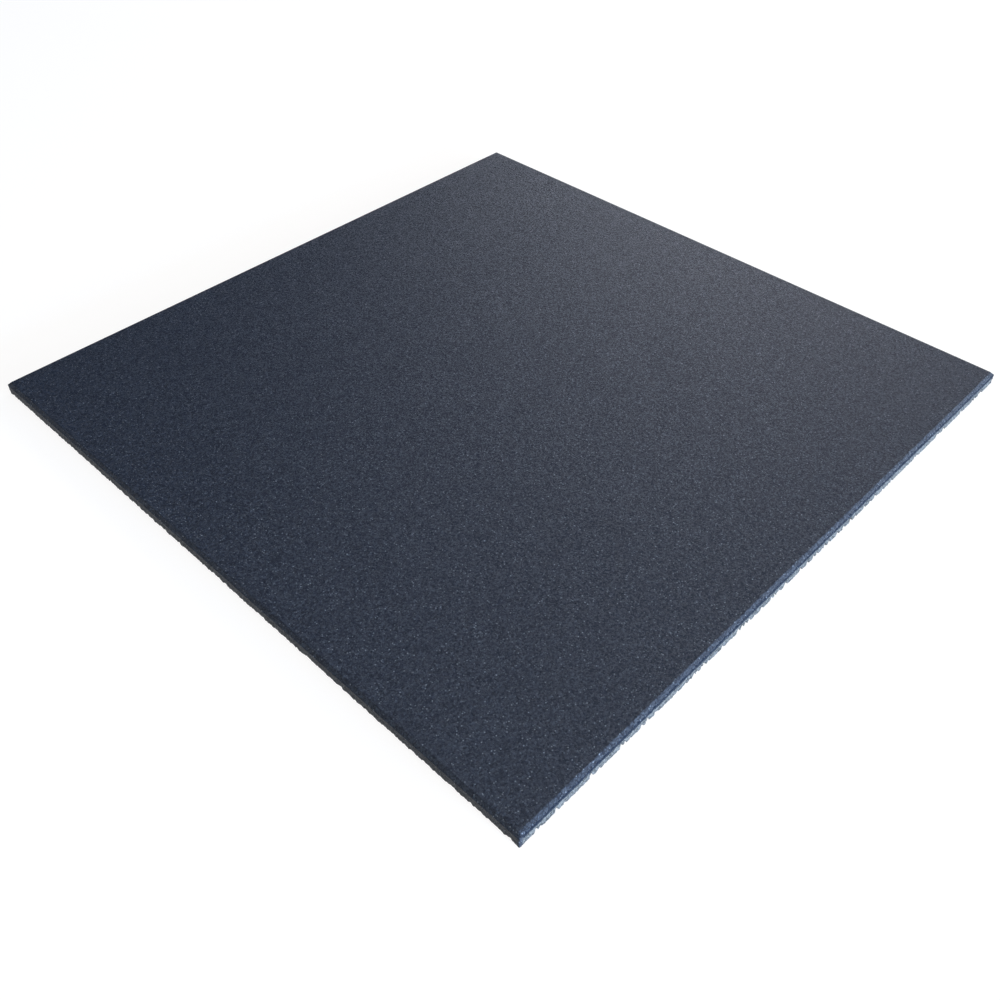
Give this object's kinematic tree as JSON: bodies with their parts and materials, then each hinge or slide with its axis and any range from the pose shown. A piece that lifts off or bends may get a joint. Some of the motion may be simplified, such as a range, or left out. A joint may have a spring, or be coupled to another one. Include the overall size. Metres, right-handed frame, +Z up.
{
  "type": "rubber gym floor tile",
  "caption": "Square slab of bonded rubber crumb with a bevelled upper edge, laid loose edge to edge as impact-absorbing floor covering in a gym or weights area.",
  "frame": {"origin": "centre of the underside", "axes": "+Z up, out of the walking face; X and Y along the tile's straight sides"},
  "size_m": [1, 1, 0.02],
  "materials": {
    "crumb_rubber": "dull pressed skin of bonded rubber crumb, nearly black with a blue cast and fine paler flecks; sides rough, greyer and granular"
  },
  "bodies": {
    "root": {"tile": "crumb_rubber"}
  },
  "joints": []
}
